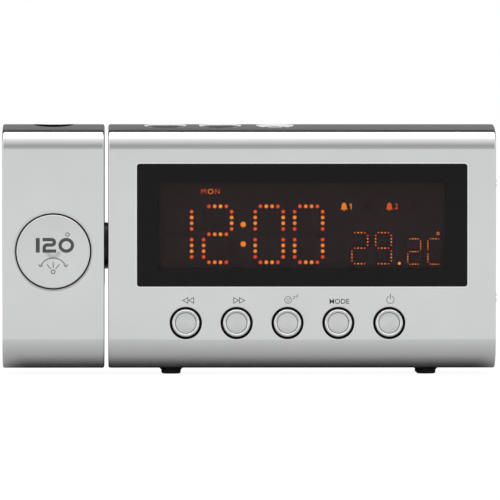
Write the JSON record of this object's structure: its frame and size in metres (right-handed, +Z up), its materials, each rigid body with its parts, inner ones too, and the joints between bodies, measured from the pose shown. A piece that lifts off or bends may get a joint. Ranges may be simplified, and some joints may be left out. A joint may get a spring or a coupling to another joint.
{
  "type": "projection alarm clock",
  "caption": "Projection alarm clock: long silver body with a dark display window, round keys on its front and top, and a projector module that swivels on its left end.",
  "frame": {"origin": "on the table under the middle of the whole clock", "axes": "+X to the right seen from the front, +Y to the back, +Z up"},
  "size_m": [0.2018, 0.0486, 0.1015],
  "materials": {
    "silver_plastic": "satin silver paint",
    "key_silver": "satin silver paint",
    "key_grey": "satin",
    "bright_key": "polished",
    "smoked_window": "gloss",
    "display_face": "satin",
    "white_plastic": "matte",
    "circuit_board": "satin",
    "black_plastic": "satin",
    "steel": "satin",
    "foot_rubber": "matte",
    "cable_sheath": "matte",
    "clear_lens": "polished",
    "slide_film": "gloss",
    "speaker_paper": "matte"
  },
  "bodies": {
    "clock_body": {"front_casing": "silver_plastic", "rear_casing": "silver_plastic", "display_window": "smoked_window", "display_panel": "display_face", "light_box": "white_plastic", "backlight_lamps": "clear_lens", "main_board": "circuit_board", "board_screws": "steel", "front_key_switches": "black_plastic", "top_key_board": "circuit_board", "top_key_switches": "black_plastic", "tuner_board": "circuit_board", "board_header": "black_plastic", "volume_control": "black_plastic", "tuning_control": "black_plastic", "rear_casing_screws": "steel", "lead_socket": "black_plastic", "projector_lead": "cable_sheath", "foot_front_left": "foot_rubber", "foot_front_right": "foot_rubber", "foot_rear_left": "foot_rubber", "foot_rear_right": "foot_rubber", "battery_contacts": "steel", "power_inlet": "black_plastic", "speaker_frame": "steel", "speaker_cone": "speaker_paper", "speaker_magnet": "steel"},
    "projector": {"projector_front_casing": "silver_plastic", "projector_rear_casing": "silver_plastic", "swivel_hub": "black_plastic", "hub_screws": "steel", "friction_washer": "steel", "hub_clip": "steel", "projector_casing_screws": "steel", "projector_board_screws": "steel", "projection_switch_board": "circuit_board", "projection_switch": "black_plastic", "optic_frame": "black_plastic", "lamp_board": "circuit_board", "lead_plug": "black_plastic", "projection_lamp": "clear_lens", "condenser_lens": "clear_lens", "time_slide": "slide_film"},
    "projection_key": {"projection_key": "key_silver"},
    "focus_ring": {"focus_ring": "black_plastic"},
    "lens_barrel": {"lens_barrel": "black_plastic", "projection_lens": "clear_lens"},
    "volume_wheel": {"volume_wheel": "black_plastic", "volume_spindle": "steel"},
    "tuning_wheel": {"tuning_wheel": "black_plastic", "tuning_spindle": "steel"},
    "battery_cover": {"battery_cover": "silver_plastic"},
    "back_key": {"back_key": "key_silver"},
    "forward_key": {"forward_key": "key_silver"},
    "sleep_key": {"sleep_key": "key_silver"},
    "mode_key": {"mode_key": "key_silver"},
    "power_key": {"power_key": "key_silver"},
    "first_alarm_key": {"first_alarm_key": "key_grey"},
    "second_alarm_key": {"second_alarm_key": "key_grey"},
    "snooze_key": {"snooze_key": "bright_key"}
  },
  "joints": [
    {"name": "projector_swivel", "type": "hinge", "parent": "clock_body", "child": "projector", "pos_m": [-0.0588, 0.00025, 0.052], "axis": [1, 0, 0], "range_deg": [-90, 30]},
    {"name": "projection_key_press", "type": "slide", "parent": "projector", "child": "projection_key", "axis": [0, 1, 0], "range_m": [0, 0.0008], "stiffness_N_per_m": 1500},
    {"name": "focus_turn", "type": "hinge", "parent": "projector", "child": "focus_ring", "pos_m": [-0.08025, -0.00295, 0.10143], "axis": [0, 0, 1], "range_deg": [-120, 120]},
    {"name": "lens_focus", "type": "slide", "parent": "projector", "child": "lens_barrel", "axis": [0, 0, 1], "range_m": [-0.001, 0.001]},
    {"name": "back_key_press", "type": "slide", "parent": "clock_body", "child": "back_key", "axis": [0, 1, 0], "range_m": [0, 0.0008], "stiffness_N_per_m": 1200},
    {"name": "forward_key_press", "type": "slide", "parent": "clock_body", "child": "forward_key", "axis": [0, 1, 0], "range_m": [0, 0.0008], "stiffness_N_per_m": 1200},
    {"name": "sleep_key_press", "type": "slide", "parent": "clock_body", "child": "sleep_key", "axis": [0, 1, 0], "range_m": [0, 0.0008], "stiffness_N_per_m": 1200},
    {"name": "mode_key_press", "type": "slide", "parent": "clock_body", "child": "mode_key", "axis": [0, 1, 0], "range_m": [0, 0.0008], "stiffness_N_per_m": 1200},
    {"name": "power_key_press", "type": "slide", "parent": "clock_body", "child": "power_key", "axis": [0, 1, 0], "range_m": [0, 0.0008], "stiffness_N_per_m": 1200},
    {"name": "first_alarm_key_press", "type": "slide", "parent": "clock_body", "child": "first_alarm_key", "axis": [0, 0.1071, -0.9942], "range_m": [0, 0.0008], "stiffness_N_per_m": 1200},
    {"name": "second_alarm_key_press", "type": "slide", "parent": "clock_body", "child": "second_alarm_key", "axis": [0, 0.1071, -0.9942], "range_m": [0, 0.0008], "stiffness_N_per_m": 1200},
    {"name": "snooze_key_press", "type": "slide", "parent": "clock_body", "child": "snooze_key", "axis": [0, 0.1071, -0.9942], "range_m": [0, 0.0008], "stiffness_N_per_m": 1200},
    {"name": "volume_turn", "type": "hinge", "parent": "clock_body", "child": "volume_wheel", "pos_m": [0.0929, 0.01025, 0.0774], "axis": [0, 1, 0], "range_deg": [-140, 140]},
    {"name": "tuning_turn", "type": "hinge", "parent": "clock_body", "child": "tuning_wheel", "pos_m": [0.0862, 0.01025, 0.0306], "axis": [0, 1, 0], "range_deg": [-90, 90]},
    {"name": "battery_cover_open", "type": "hinge", "parent": "clock_body", "child": "battery_cover", "pos_m": [-0.007, 0.02425, 0.0185], "axis": [1, 0, 0], "range_deg": [-60, 0]}
  ],
  "couplings": [
    {"joint": "focus_turn", "follows": "lens_focus", "rad_per_m": 2094.4}
  ]
}
